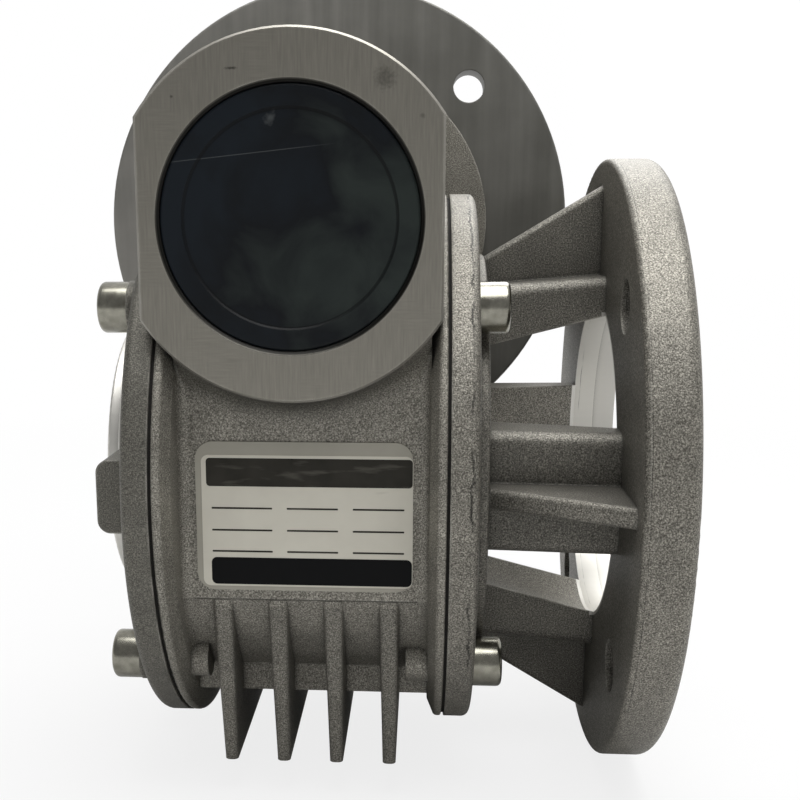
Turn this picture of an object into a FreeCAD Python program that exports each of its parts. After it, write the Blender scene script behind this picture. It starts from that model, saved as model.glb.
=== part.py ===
import FreeCAD, Part
import math
import os

V = FreeCAD.Vector
os.makedirs("parts", exist_ok=True)

# All sizes are millimetres. X is the output axis, towards the mounting ring. The worm lies
# along Y, towards the motor, above the output axis and a little to the left of the case's middle.
# The origin is on the output axis, midway between the two side covers.

# Gear pair
centre_distance = 44.6
worm_x = -1.34
wheel_teeth = 30
worm_starts = 3
axial_module = 2.15
pressure_angle = math.radians(20.0)
tooth_play = 0.24
tip_gap = 0.43
gap_over = 0.8
worm_thread_half = 20.0
wheel_half = 8.5
wheel_outer_r = 35.6

# Fits
running_gap = 0.3
slip_gap = 0.05
spigot_gap = 0.15
chamber_gap = 0.6

# Case
case_half = 23.1
rim_r = 49.5
rim_w = 2.6
rim_top = 1.3
rim_slope_r = 46.4
rim_round = 0.8
rim_seat_round = 0.4
drum_r = 42.7
foot_round = 1.9
pad_y = 39.5
pad_low = -17.2
pad_high = 33.0
pad_round = 1.8
barrel_r = 28.0
barrel_flat = 23.5
cover_clear = 0.6
barrel_front = -45.0
barrel_back = 52.0
barrel_chamfer = 0.35
shoulder_round = 5.0
back_pad_r = 34.0
back_pad_t = 10.0
back_pad_clear_z = 25.0
tunnel_gap = 1.5
sump_y = 27.0
sump_z = -38.1
fin_xs = (-13.95, -4.65, 4.65, 13.95)
fin_root = 3.4
fin_tip = 2.3
fin_round = 0.9
fin_y = 39.4
fin_low_y = 33.2
fin_low = -49.0
screw_boss_r = 3.7
screw_boss_floor = 1.2

# Screws that hold the covers and the motor flange, all M5
screw_r = 2.5
screw_hole_r = 2.55
screw_clear_r = 2.75
cover_screw_at = 30.5
cover_screw_l = 10.0
cover_screw_head_r = 4.25
cover_screw_head_h = 5.0
tapped_depth_right = 5.2
tapped_depth_left = 4.3
motor_screw_pcd = 58.0
motor_screw_l = 10.0
motor_tapped_depth = 8.5
motor_screw_head_r = 4.5
motor_screw_head_h = 3.2
counterbore_gap = 0.35

# Covers
gasket_t = 0.5
gasket_inset = 0.6
cover_t = 4.6
cover_edge_round = 1.4
spigot_in = 19.5
carrier_r = 28.0
hub_r = 26.8
hub_end = 36.4
hub_step_r = 25.5
hub_step_l = 2.2
hub_round = 1.6
lug_w = 12.4
lug_r = 39.8
lug_end = 34.4
lug_round = 2.2
cover_pad_r = 4.4
cover_pad_h = 1.4

# Output flange
step_r = 38.5
step_h = 2.0
bell_r_base = 24.0
bell_r_ring = 29.6
leg_w = 20.6
leg_r_base = 32.8
leg_r_ring = 34.8
leg_round = 2.2
gusset_t = 3.4
gusset_r_base = 36.6
gusset_r_ring = 51.2
gusset_round = 1.2
ring_back = 51.7
ring_front = 60.3
ring_r = 55.6
ring_front_round = 2.0
ring_back_round = 0.8
ring_pilot_r = 30.0
ring_pilot_depth = 4.5
ring_pcd = 87.0
ring_hole_r = 4.5

# Motor flange, frame size 71 with face mounting
motor_r = 52.5
motor_t = 9.5
motor_pcd = 85.0
motor_hole_r = 3.5
motor_pilot_r = 35.0
motor_pilot_depth = 4.0
motor_bore_r = 18.0
motor_spigot_l = 2.0
motor_shaft_r = 7.0
motor_shaft_depth = 32.0
motor_key_w = 5.0
motor_key_r = 9.3

# Output hub
output_bore_r = 9.0
output_key_w = 6.0
output_key_r = 11.8
hub_shoulder_r = 18.5
hub_disc_r = 24.5
hub_left_end = -35.8
hub_right_end = 30.3

# Bearings: bore radius, outside radius, width
blind_brg = (8.5, 20.0, 12.0)
motor_brg = (12.5, 21.0, 9.0)
wheel_brg = (15.0, 23.5, 9.0)
blind_brg_y = -38.0
motor_brg_y = 27.0
wheel_brg_x = 13.2
race_share = 0.31
shield_t = 0.8
shield_inset = 0.4

# Circlips, oil seals, cap and nameplate
circlip_t = 1.7
circlip_depth = 1.2
circlip_band = 2.6
circlip_mouth = 9.0
seal_w = 7.0
seal_lip = 2.2
input_seal_y = 42.0
left_seal_x = 29.2
right_seal_x = 23.2
bearing_lip_r = 21.0
cap_set_back = 0.4
cap_end = -40.0
cap_face_t = 2.2
cap_wall = 2.4
cap_step_r = 16.4
cap_step = 0.3
plate_x = 17.8
plate_low = -15.5
plate_high = 9.5
plate_round = 3.0
plate_t = 0.3

# Sizes that follow from the ones above
wheel_pitch_r = wheel_teeth * axial_module / 2
worm_pitch_r = centre_distance - wheel_pitch_r
worm_tip_r = worm_pitch_r + axial_module
worm_root_r = worm_pitch_r - axial_module - tip_gap
axial_pitch = math.pi * axial_module
lead = worm_starts * axial_pitch
chamber_r = wheel_outer_r + chamber_gap
tunnel_r = worm_tip_r + tunnel_gap
cover_in = case_half + gasket_t
cover_out = cover_in + cover_t
cover_screw_seat = cover_out + cover_pad_h
motor_face = barrel_back + motor_t
carrier_in = wheel_brg_x - 0.2
wheel_brg_out = wheel_brg_x + wheel_brg[2]


def cyl_x(r, x0, x1, y=0.0, z=0.0):
    return Part.makeCylinder(r, x1 - x0, V(x0, y, z), V(1, 0, 0))


def cyl_y(r, y0, y1, x=worm_x, z=centre_distance):
    return Part.makeCylinder(r, y1 - y0, V(x, y0, z), V(0, 1, 0))


def block(x0, x1, y0, y1, z0, z1):
    return Part.makeBox(x1 - x0, y1 - y0, z1 - z0, V(x0, y0, z0))


def outline(corners, place):
    """Closed wire through (u, v) or (u, v, rounding) corners, set in space by place."""
    starts, ends, arcs = [], [], []
    count = len(corners)
    for i, corner in enumerate(corners):
        here = V(corner[0], corner[1], 0)
        if len(corner) < 3:
            starts.append(here)
            ends.append(here)
            arcs.append(None)
            continue
        before = corners[i - 1]
        after = corners[(i + 1) % count]
        d0 = (V(before[0], before[1], 0) - here).normalize()
        d1 = (V(after[0], after[1], 0) - here).normalize()
        half = d0.getAngle(d1) / 2
        reach = corner[2] / math.tan(half)
        middle = here + (d0 + d1).normalize() * (corner[2] / math.sin(half) - corner[2])
        starts.append(here + d0 * reach)
        ends.append(here + d1 * reach)
        arcs.append(middle)
    edges = []
    for i in range(count):
        if arcs[i] is not None:
            edges.append(Part.Arc(place(starts[i]), place(arcs[i]), place(ends[i])).toShape())
        following = starts[(i + 1) % count]
        if (following - ends[i]).Length > 1e-6:
            edges.append(Part.makeLine(place(ends[i]), place(following)))
    return Part.Wire(edges)


def turned_x(corners):
    """Solid turned about the output axis from (x, radius) corners."""
    face = Part.Face(outline(corners, lambda p: V(p.x, 0, p.y)))
    return face.revolve(V(0, 0, 0), V(1, 0, 0), 360)


def turned_y(corners):
    """Solid turned about the worm axis from (y, radius) corners."""
    face = Part.Face(outline(corners, lambda p: V(worm_x, p.x, centre_distance + p.y)))
    return face.revolve(V(worm_x, 0, centre_distance), V(0, 1, 0), 360)


def about_x(shape, degrees):
    turned = shape.copy()
    turned.rotate(V(0, 0, 0), V(1, 0, 0), degrees)
    return turned


def to_left(shape):
    return shape.mirror(V(0, 0, 0), V(1, 0, 0))


def joined(shapes):
    return shapes[0].multiFuse(shapes[1:]).removeSplitter()


def corners_at(distance):
    return [(y * distance, z * distance) for y in (-1, 1) for z in (-1, 1)]


def save(name, *solids):
    shape = solids[0] if len(solids) == 1 else Part.makeCompound(list(solids))
    shape.exportStep("parts/" + name + ".step")


motor_screw_at = motor_screw_pcd / 2 * math.sqrt(0.5)
motor_hole_at = motor_pcd / 2 * math.sqrt(0.5)
ring_hole_at = ring_pcd / 2 * math.sqrt(0.5)


def make_gear_case():
    """Die-cast case: wheel drum between two round rims, worm barrel above, fins below."""
    inner = case_half - rim_w
    flats = block(-case_half, case_half, -pad_y, pad_y, -60, 60)
    shapes = [cyl_x(drum_r, -case_half, case_half).common(flats)]
    for side in (-1, 1):
        rim = turned_x([(inner, drum_r - 10), (case_half, drum_r - 10), (case_half, rim_r, rim_seat_round),
                        (case_half - rim_top, rim_r, rim_round), (inner, rim_slope_r)])
        shapes.append(rim if side > 0 else to_left(rim))
        foot = turned_x([(inner + 0.3, drum_r - 1), (inner + 0.3, drum_r + foot_round),
                         (inner, drum_r + foot_round), (inner, drum_r, foot_round - 0.05),
                         (inner - foot_round, drum_r), (inner - foot_round, drum_r - 1)])
        foot = foot.common(block(0, case_half, -60, 60, -60, pad_low))
        shapes.append(foot if side > 0 else to_left(foot))
        y0, y1 = sorted((side * pad_y, side * (pad_y - 14)))
        shapes.append(block(-inner, inner, y0, y1, pad_low, pad_high))
        for edge in (-1, 1):
            corner = [(edge * inner, side * pad_y),
                      (edge * inner, side * (pad_y + pad_round)),
                      (edge * (inner - pad_round), side * pad_y)]
            wire = Part.Wire([
                Part.makeLine(V(*corner[2], pad_low), V(*corner[0], pad_low)),
                Part.makeLine(V(*corner[0], pad_low), V(*corner[1], pad_low)),
                Part.Arc(V(*corner[1], pad_low),
                         V(edge * (inner - pad_round * 0.293), side * (pad_y + pad_round * 0.293), pad_low),
                         V(*corner[2], pad_low)).toShape()])
            shapes.append(Part.Face(wire).extrude(V(0, 0, pad_high - pad_low)))
    barrel = cyl_y(barrel_r, barrel_front, barrel_back)
    barrel = barrel.common(block(worm_x - barrel_flat, worm_x + barrel_flat, -60, 60, 0, 90))
    face_edges = [e for e in barrel.Edges if abs(e.BoundBox.YMax - barrel_front) < 0.01]
    barrel = barrel.makeChamfer(barrel_chamfer, face_edges)
    shapes.append(barrel.cut(cyl_x(rim_r + cover_clear, -60, -case_half)))
    skirt = turned_y([(-pad_y - shoulder_round, barrel_r - 3),
                      (-pad_y - shoulder_round, barrel_r + 0.02),
                      (-pad_y, barrel_r, shoulder_round - 0.05),
                      (-pad_y, barrel_r + shoulder_round),
                      (-pad_y + 10, barrel_r + shoulder_round),
                      (-pad_y + 10, barrel_r - 3)])
    skirt = skirt.common(block(-inner, inner, -60, 0, -20, pad_high))
    shapes.append(skirt)
    back_pad = cyl_y(back_pad_r, barrel_back - back_pad_t, barrel_back)
    for side in (-1, 1):
        x0, x1 = sorted((side * case_half, side * 60))
        back_pad = back_pad.cut(block(x0, x1, 0, 60, -20, back_pad_clear_z))
    shapes.append(back_pad)
    shapes.append(block(-inner, inner, -sump_y, sump_y, sump_z, -25))
    for x in fin_xs:
        ends = []
        for z, t, y in ((pad_low, fin_root, fin_y), (fin_low, fin_tip, fin_low_y)):
            ends.append(outline([(x - t / 2, -y, fin_round), (x + t / 2, -y, fin_round),
                                 (x + t / 2, y, fin_round), (x - t / 2, y, fin_round)],
                                lambda p: V(p.x, p.y, z)))
        shapes.append(Part.makeLoft(ends, True, True))
    for y, z in corners_at(cover_screw_at):
        for side, depth in ((-1, tapped_depth_left), (1, tapped_depth_right)):
            x0, x1 = sorted((side * (case_half - depth - screw_boss_floor), side * case_half))
            shapes.append(cyl_x(screw_boss_r, x0, x1, y, z))
    body = joined(shapes)

    cuts = [cyl_x(chamber_r, -case_half - 1, case_half + 1),
            cyl_y(tunnel_r, blind_brg_y, motor_brg_y + 1),
            cyl_y(blind_brg[1], barrel_front - 1, blind_brg_y + blind_brg[2]),
            cyl_y(motor_brg[1], motor_brg_y, barrel_back + 1),
            cyl_y(blind_brg[1] + circlip_depth, blind_brg_y - circlip_t - 0.05, blind_brg_y),
            cyl_y(motor_brg[1] + circlip_depth, motor_brg_y + motor_brg[2],
                  motor_brg_y + motor_brg[2] + circlip_t + 0.05),
            Part.makeCone(blind_brg[1] + 0.6, blind_brg[1], 0.6,
                          V(worm_x, barrel_front, centre_distance), V(0, 1, 0))]
    for y, z in corners_at(cover_screw_at):
        cuts.append(cyl_x(screw_hole_r, case_half - tapped_depth_right, case_half + 1, y, z))
        cuts.append(cyl_x(screw_hole_r, -case_half - 1, tapped_depth_left - case_half, y, z))
    for x, z in corners_at(motor_screw_at):
        cuts.append(cyl_y(screw_hole_r, barrel_back - motor_tapped_depth, barrel_back + 1,
                          worm_x + x, centre_distance + z))
    return body.cut(cuts)


def make_gasket():
    ring = cyl_x(rim_r - gasket_inset, case_half, cover_in).cut(cyl_x(chamber_r, case_half, cover_in))
    for y, z in corners_at(cover_screw_at):
        ring = ring.cut(cyl_x(screw_clear_r, case_half, cover_in, y, z))
    return ring


def carrier_corners(seal_x):
    """Inside outline shared by both covers: bearing seat, lip and seal seat."""
    return [(carrier_in, wheel_brg[1]), (wheel_brg_out, wheel_brg[1]), (wheel_brg_out, bearing_lip_r),
            (seal_x, bearing_lip_r), (seal_x, wheel_brg[1])]


def spigot_corners():
    r = chamber_r - spigot_gap
    return [(cover_in, r), (spigot_in, r), (spigot_in, carrier_r), (carrier_in, carrier_r)]


def make_side_cover():
    """Cast cover for the left side, drawn on the right and mirrored."""
    shapes = [turned_x(carrier_corners(left_seal_x) + [
        (hub_end, wheel_brg[1]), (hub_end, hub_step_r, 0.5), (hub_end - hub_step_l, hub_step_r),
        (hub_end - hub_step_l, hub_r, 0.5), (cover_out, hub_r, hub_round),
        (cover_out, rim_r, cover_edge_round), (cover_in, rim_r)] + spigot_corners())]
    lug = outline([(cover_out - 1, -lug_w / 2), (lug_end, -lug_w / 2, lug_round),
                   (lug_end, lug_w / 2, lug_round), (cover_out - 1, lug_w / 2)],
                  lambda p: V(p.x, p.y, hub_r - 1))
    lug = Part.Face(lug).extrude(V(0, 0, lug_r - hub_r + 1))
    shapes += [about_x(lug, angle) for angle in (0, 90, 180, 270)]
    for y, z in corners_at(cover_screw_at):
        shapes.append(cyl_x(cover_pad_r, cover_out - 1, cover_screw_seat, y, z))
    body = joined(shapes)
    return to_left(body.cut([cyl_x(screw_clear_r, cover_in - 1, hub_end, y, z)
                             for y, z in corners_at(cover_screw_at)]))


def make_output_flange():
    """Cast bell: base plate with bearing seat, four gusseted legs and the mounting ring."""
    shapes = [turned_x(carrier_corners(right_seal_x) + [
        (cover_out + step_h, wheel_brg[1]), (cover_out + step_h, step_r, 0.6), (cover_out, step_r),
        (cover_out, rim_r, cover_edge_round), (cover_in, rim_r)] + spigot_corners())]
    shapes.append(turned_x([
        (ring_back, bell_r_ring), (ring_front - ring_pilot_depth, bell_r_ring),
        (ring_front - ring_pilot_depth, ring_pilot_r), (ring_front, ring_pilot_r),
        (ring_front, ring_r, ring_front_round), (ring_back, ring_r, ring_back_round)]))
    sunk = cover_out - 0.5
    into = ring_back + 0.5

    def rib(half, low, r_base, r_ring, rounding):
        ends = []
        for x, top in ((sunk, r_base), (into, r_ring)):
            ends.append(outline([(-half, low), (half, low), (half, top, rounding), (-half, top, rounding)],
                                lambda p: V(x, p.x, p.y)))
        return Part.makeLoft(ends, True, True)

    taper = (bell_r_ring - bell_r_base) / (ring_back - cover_out)
    inside = Part.makeCone(bell_r_base - taper, bell_r_ring + taper, ring_back - cover_out + 2,
                           V(cover_out - 1, 0, 0), V(1, 0, 0))
    leg = rib(leg_w / 2, 15, leg_r_base, leg_r_ring, leg_round).cut(inside)
    gusset = rib(gusset_t / 2, 30, gusset_r_base, gusset_r_ring, gusset_round)
    for angle in (0, 90, 180, 270):
        shapes.append(about_x(leg, angle))
        shapes.append(about_x(gusset, angle))
    body = joined(shapes)
    cuts = [cyl_x(ring_hole_r, ring_back - 1, ring_front + 1, y, z) for y, z in corners_at(ring_hole_at)]
    cuts += [cyl_x(screw_clear_r, cover_in - 1, cover_out + 1, y, z) for y, z in corners_at(cover_screw_at)]
    return body.cut(cuts)


def make_motor_flange():
    """Round input flange with the motor's pilot recess and a spigot in the barrel."""
    floor = motor_face - motor_pilot_depth
    body = turned_y([(barrel_back, motor_r, 0.5), (motor_face, motor_r, 0.5), (motor_face, motor_pilot_r),
                     (floor, motor_pilot_r), (floor, motor_bore_r),
                     (barrel_back - motor_spigot_l, motor_bore_r),
                     (barrel_back - motor_spigot_l, motor_brg[1] - slip_gap),
                     (barrel_back, motor_brg[1] - slip_gap)])
    cuts = []
    for x, z in corners_at(motor_hole_at):
        cuts.append(cyl_y(motor_hole_r, barrel_back - 1, motor_face + 1, worm_x + x, centre_distance + z))
    for x, z in corners_at(motor_screw_at):
        cuts.append(cyl_y(screw_clear_r, barrel_back - 1, floor, worm_x + x, centre_distance + z))
        cuts.append(cyl_y(motor_screw_head_r + counterbore_gap, floor - motor_screw_head_h, floor + 1,
                          worm_x + x, centre_distance + z))
    return body.cut(cuts)


def cover_screw(seat, y, z):
    return cyl_x(screw_r, seat - cover_screw_l, seat, y, z).fuse(
        cyl_x(cover_screw_head_r, seat, seat + cover_screw_head_h, y, z))


def motor_screw(x, z):
    seat = motor_face - motor_pilot_depth - motor_screw_head_h
    return cyl_y(screw_r, seat - motor_screw_l, seat, x, z).fuse(
        cyl_y(motor_screw_head_r, seat, seat + motor_screw_head_h, x, z))


def worm_thread(height):
    """One thread, straight-sided in the axial plane, swept along the lead helix about Z."""
    root = worm_root_r - 0.6
    crest = worm_tip_r

    def half(r):
        return axial_pitch / 4 - tooth_play / 2 - (r - worm_pitch_r) * math.tan(pressure_angle)

    helix = Part.makeLongHelix(lead, height, worm_pitch_r)
    profile = Part.makePolygon([V(root, 0, -half(root)), V(crest, 0, -half(crest)),
                                V(crest, 0, half(crest)), V(root, 0, half(root)), V(root, 0, -half(root))])
    thread = Part.Wire(helix.Edges).makePipeShell([profile], True, True)
    thread.translate(V(0, 0, -height / 2))
    thread.rotate(V(0, 0, 0), V(0, 0, 1), 90 - 180 * height / lead)
    return thread


def make_worm_shaft():
    """Hardened worm: journals for both bearings, three threads and the keyed motor bore."""
    height = 2 * worm_thread_half + 2 * axial_pitch
    first = worm_thread(height)
    stock = Part.makeCylinder(worm_tip_r + 1, 2 * worm_thread_half, V(0, 0, -worm_thread_half))
    threads = []
    for k in range(worm_starts):
        thread = first.copy()
        thread.rotate(V(0, 0, 0), V(0, 0, 1), 360.0 * k / worm_starts)
        thread = thread.common(stock)
        thread.rotate(V(0, 0, 0), V(1, 0, 0), -90)
        thread.translate(V(worm_x, 0, centre_distance))
        threads.append(thread)
    blind_in = blind_brg_y + blind_brg[2]
    motor_end = motor_face - motor_pilot_depth - 1.5
    core = turned_y([(blind_brg_y - 0.4, 0), (blind_brg_y - 0.4, blind_brg[0]),
                     (blind_in, blind_brg[0]), (blind_in, blind_brg[0] + 2.4),
                     (-worm_thread_half - 2, blind_brg[0] + 2.4), (-worm_thread_half - 0.6, worm_root_r),
                     (worm_thread_half + 0.6, worm_root_r), (worm_thread_half + 3, motor_brg[0] + 1.7),
                     (motor_brg_y, motor_brg[0] + 1.7), (motor_brg_y, motor_brg[0]),
                     (motor_end, motor_brg[0]), (motor_end, 0)])
    body = core.multiFuse(threads)
    bore = cyl_y(motor_shaft_r, motor_end - motor_shaft_depth, motor_end + 1)
    key = block(worm_x - motor_key_w / 2, worm_x + motor_key_w / 2,
                motor_end - motor_shaft_depth, motor_end + 1,
                centre_distance, centre_distance + motor_key_r)
    return body.cut(bore.fuse(key))


def wheel_flank(x, side, depth):
    """Point (y, z) of a wheel tooth flank that rolls with the thread section cut at x."""
    r = math.hypot(depth, x)
    half = axial_pitch / 4 - (r - worm_pitch_r) * math.tan(pressure_angle)
    y = side * half - lead / (2 * math.pi) * math.atan2(x, depth)
    slope = -side * math.tan(pressure_angle) * depth / r + lead / (2 * math.pi) * x / r ** 2
    above = worm_pitch_r - depth
    contact = above / slope
    turn = (contact - y) / wheel_pitch_r
    height = wheel_pitch_r + above
    return (contact * math.cos(turn) - height * math.sin(turn),
            contact * math.sin(turn) + height * math.cos(turn))


def flank_depth(x, side, deep, radius):
    """Depth below the worm axis at which a flank reaches the given wheel radius."""
    low = deep
    while math.hypot(*wheel_flank(x, side, low)) < radius:
        high = low
        low -= 0.1
    for _ in range(30):
        middle = (low + high) / 2
        if math.hypot(*wheel_flank(x, side, middle)) < radius:
            high = middle
        else:
            low = middle
    return low


def tooth_gap(sections):
    """Space between two wheel teeth, lofted through conjugate sections across the face."""
    throat = worm_root_r + tip_gap
    wires = []
    for x in sections:
        deep = math.sqrt((worm_tip_r + tip_gap) ** 2 - x ** 2)
        crest = centre_distance - math.sqrt(throat ** 2 - x ** 2) if abs(x) < throat else wheel_outer_r
        crest = min(crest, wheel_outer_r) + gap_over
        steps = 6
        sides = []
        for side in (-1, 1):
            shallow = flank_depth(x, side, deep, crest)
            points = []
            for i in range(steps):
                y, z = wheel_flank(x, side, shallow + (deep - shallow) * i / (steps - 1))
                points.append(V(x, y, z))
            sides.append(points)
        root = centre_distance - deep
        feet = []
        for points in sides:
            end = points[-1]
            k = root / math.hypot(end.y, end.z)
            feet.append(V(x, end.y * k, end.z * k))
        left = Part.BSplineCurve()
        left.interpolate(sides[0])
        right = Part.BSplineCurve()
        right.interpolate(sides[1][::-1])
        wires.append(Part.Wire([
            left.toShape(), Part.makeLine(sides[0][-1], feet[0]), Part.makeLine(feet[0], feet[1]),
            Part.makeLine(feet[1], sides[1][-1]), right.toShape(),
            Part.makeLine(sides[1][0], sides[0][0])]))
    return Part.makeLoft(wires, True, False)


def make_wheel_rim():
    """Bronze rim, throated to the worm, with conjugate teeth across the whole face."""
    throat = worm_root_r + tip_gap
    meet = math.sqrt(throat ** 2 - (centre_distance - wheel_outer_r) ** 2)
    start = V(-meet, 0, wheel_outer_r)
    finish = V(meet, 0, wheel_outer_r)
    middle = V(0, 0, centre_distance - throat)
    corners = [finish, V(wheel_half, 0, wheel_outer_r), V(wheel_half, 0, hub_disc_r),
               V(-wheel_half, 0, hub_disc_r), V(-wheel_half, 0, wheel_outer_r), start]
    edges = [Part.Arc(start, middle, finish).toShape()]
    edges += [Part.makeLine(a, b) for a, b in zip(corners[:-1], corners[1:])]
    blank = Part.Face(Part.Wire(edges)).revolve(V(0, 0, 0), V(1, 0, 0), 360)
    reach = wheel_half + 0.7
    gap = tooth_gap([reach * k / 3 for k in (-3, -2, -1, 0, 1, 2, 3)])
    rim = blank.cut([about_x(gap, 360.0 * k / wheel_teeth) for k in range(wheel_teeth)])
    rim.translate(V(worm_x, 0, 0))
    return rim


def make_output_hub():
    """Hollow output shaft with the disc that carries the rim and a full-length keyway."""
    body = turned_x([(hub_left_end, output_bore_r), (hub_left_end, wheel_brg[0]),
                     (-wheel_brg_x, wheel_brg[0]), (-wheel_brg_x, hub_shoulder_r),
                     (worm_x - wheel_half, hub_shoulder_r), (worm_x - wheel_half, hub_disc_r),
                     (worm_x + wheel_half, hub_disc_r), (worm_x + wheel_half, hub_shoulder_r),
                     (wheel_brg_x, hub_shoulder_r), (wheel_brg_x, wheel_brg[0]),
                     (hub_right_end, wheel_brg[0]), (hub_right_end, output_bore_r)])
    return body.cut(block(hub_left_end - 1, hub_right_end + 1, -output_key_w / 2, output_key_w / 2,
                          0, output_key_r))


def ring_corners(start, width, r0, r1):
    return [(start, r0), (start + width, r0), (start + width, r1), (start, r1)]


def bearing(size, start, turned):
    """Outer ring, inner ring and the two seals between them."""
    bore, outside, width = size
    step = (outside - bore) * race_share
    outer = turned(ring_corners(start, width, outside - step, outside))
    inner = turned(ring_corners(start, width, bore, bore + step))
    seals = []
    for at in (start + shield_inset, start + width - shield_inset - shield_t):
        seals.append(turned(ring_corners(at, shield_t, bore + step + running_gap, outside - step)))
    return outer, inner, seals


def oil_seal(start, out, shaft_r, outside, turned):
    """Lip seal: stiff outer band, thin wall on the air side and a lip by the shaft."""
    wall = seal_lip * 0.6
    inside = shaft_r + running_gap
    a, b = (start, start + seal_w) if out > 0 else (start + seal_w, start)
    step = math.copysign(wall, b - a)
    return turned([(a, outside), (b, outside), (b, inside + seal_lip), (b - step, inside),
                   (b - 3 * step, inside), (b - 3 * step, inside + seal_lip),
                   (b - step, inside + seal_lip), (b - step, outside - seal_lip), (a, outside - seal_lip)])


def circlip(start, seat_r):
    ring = turned_y(ring_corners(start, circlip_t, seat_r - circlip_band, seat_r + circlip_depth - 0.1))
    return ring.cut(block(worm_x - circlip_mouth / 2, worm_x + circlip_mouth / 2,
                          start - 1, start + circlip_t + 1,
                          centre_distance - seat_r - 5, centre_distance))


def make_end_cap():
    front = barrel_front + cap_set_back
    r = blind_brg[1] - slip_gap
    return turned_y([(front + cap_step, 0), (front + cap_step, cap_step_r), (front, cap_step_r + 0.3),
                     (front, r, 0.5), (cap_end, r), (cap_end, r - cap_wall),
                     (front + cap_face_t, r - cap_wall), (front + cap_face_t, 0)])


def make_nameplate():
    wire = outline([(-plate_x, plate_low, plate_round), (plate_x, plate_low, plate_round),
                    (plate_x, plate_high, plate_round), (-plate_x, plate_high, plate_round)],
                   lambda p: V(p.x, -pad_y, p.y))
    return Part.Face(wire).extrude(V(0, -plate_t, 0))


save("gear_case", make_gear_case())
gasket = make_gasket()
save("output_flange_gasket", gasket)
save("side_cover_gasket", to_left(gasket))
save("side_cover", make_side_cover())
save("output_flange", make_output_flange())
save("motor_flange", make_motor_flange())
save("output_flange_screws", *[cover_screw(cover_out, y, z) for y, z in corners_at(cover_screw_at)])
save("side_cover_screws", *[to_left(cover_screw(cover_screw_seat, y, z))
                            for y, z in corners_at(cover_screw_at)])
save("motor_flange_screws", *[motor_screw(worm_x + x, centre_distance + z)
                              for x, z in corners_at(motor_screw_at)])
save("end_cap", make_end_cap())
save("nameplate", make_nameplate())
save("worm_shaft", make_worm_shaft())
save("wheel_rim", make_wheel_rim())
save("output_hub", make_output_hub())
for name, parts in (("worm_bearing_blind", bearing(blind_brg, blind_brg_y, turned_y)),
                    ("worm_bearing_motor", bearing(motor_brg, motor_brg_y, turned_y)),
                    ("wheel_bearing_right", bearing(wheel_brg, wheel_brg_x, turned_x)),
                    ("wheel_bearing_left", bearing(wheel_brg, -wheel_brg_out, turned_x))):
    save(name + "_outer", parts[0])
    save(name + "_inner", parts[1])
    save(name + "_seals", *parts[2])
save("worm_circlip_blind", circlip(blind_brg_y - circlip_t, blind_brg[1]))
save("worm_circlip_motor", circlip(motor_brg_y + motor_brg[2], motor_brg[1]))
save("input_oil_seal", oil_seal(input_seal_y, 1, motor_brg[0], motor_brg[1], turned_y))
save("output_oil_seal_right", oil_seal(right_seal_x, 1, wheel_brg[0], wheel_brg[1], turned_x))
save("output_oil_seal_left", to_left(oil_seal(left_seal_x, 1, wheel_brg[0], wheel_brg[1], turned_x)))
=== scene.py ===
import math

import bmesh
import bpy
from mathutils import Matrix, Vector


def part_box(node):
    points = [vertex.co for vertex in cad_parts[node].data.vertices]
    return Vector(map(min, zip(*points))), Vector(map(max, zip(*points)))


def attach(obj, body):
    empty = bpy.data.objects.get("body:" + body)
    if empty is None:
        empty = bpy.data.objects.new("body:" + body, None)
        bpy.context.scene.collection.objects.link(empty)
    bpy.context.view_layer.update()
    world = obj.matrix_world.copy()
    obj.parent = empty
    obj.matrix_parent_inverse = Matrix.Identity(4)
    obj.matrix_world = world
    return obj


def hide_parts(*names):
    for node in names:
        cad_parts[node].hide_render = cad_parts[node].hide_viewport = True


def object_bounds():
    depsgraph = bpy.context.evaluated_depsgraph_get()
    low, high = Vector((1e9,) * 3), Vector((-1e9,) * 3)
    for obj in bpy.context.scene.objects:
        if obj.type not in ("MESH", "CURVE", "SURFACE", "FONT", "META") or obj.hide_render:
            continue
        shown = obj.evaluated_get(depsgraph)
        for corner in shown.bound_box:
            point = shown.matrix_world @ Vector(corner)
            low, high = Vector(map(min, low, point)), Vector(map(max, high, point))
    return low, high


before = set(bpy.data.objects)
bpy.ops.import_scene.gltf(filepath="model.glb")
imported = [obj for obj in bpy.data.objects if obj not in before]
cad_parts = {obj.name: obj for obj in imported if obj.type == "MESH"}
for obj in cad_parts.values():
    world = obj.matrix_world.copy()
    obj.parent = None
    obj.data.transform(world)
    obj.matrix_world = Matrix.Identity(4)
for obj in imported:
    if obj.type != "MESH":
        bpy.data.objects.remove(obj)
cad_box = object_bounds()


# Gear case: one die casting in an aluminium-silicon alloy, with the worm barrel, the wheel chamber and
# four cooling fins. It is shot-blasted to an even grey grain, and a face mill has cut the blind end of
# the barrel flat, which leaves a satin face with fine marks and a sharp edge with a painted highlight.
# Shade is also painted into the case's colour: in its corners, where its walls stand close, in the
# bore's mouth, under the barrel, along the ledge above the fins and on the fins.
MM = 0.001
# Blasting pits the skin about every 0.1 mm. The grain is drawn twice as coarse so that it shows.
FINE_GRAIN, COARSE_GRAIN = 0.22 * MM, 0.24 * MM
PIT_DEPTH_SHARE = 0.26
BLOTCH = 6 * MM
SKIN_ROUND = 0.6 * MM
CORNER_REACH, PAINTED_SHADE_REACH = 1.2 * MM, 25 * MM
CUT_DEPTH = 0.004 * MM
CAST_ROUGH, CUT_ROUGH = 0.52, 0.40
CAST_METAL, CUT_METAL = 0.60, 0.80
# How dark the painted shade in tight corners gets.
CORNER_PAINTED_SHADE = 0.7
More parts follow.
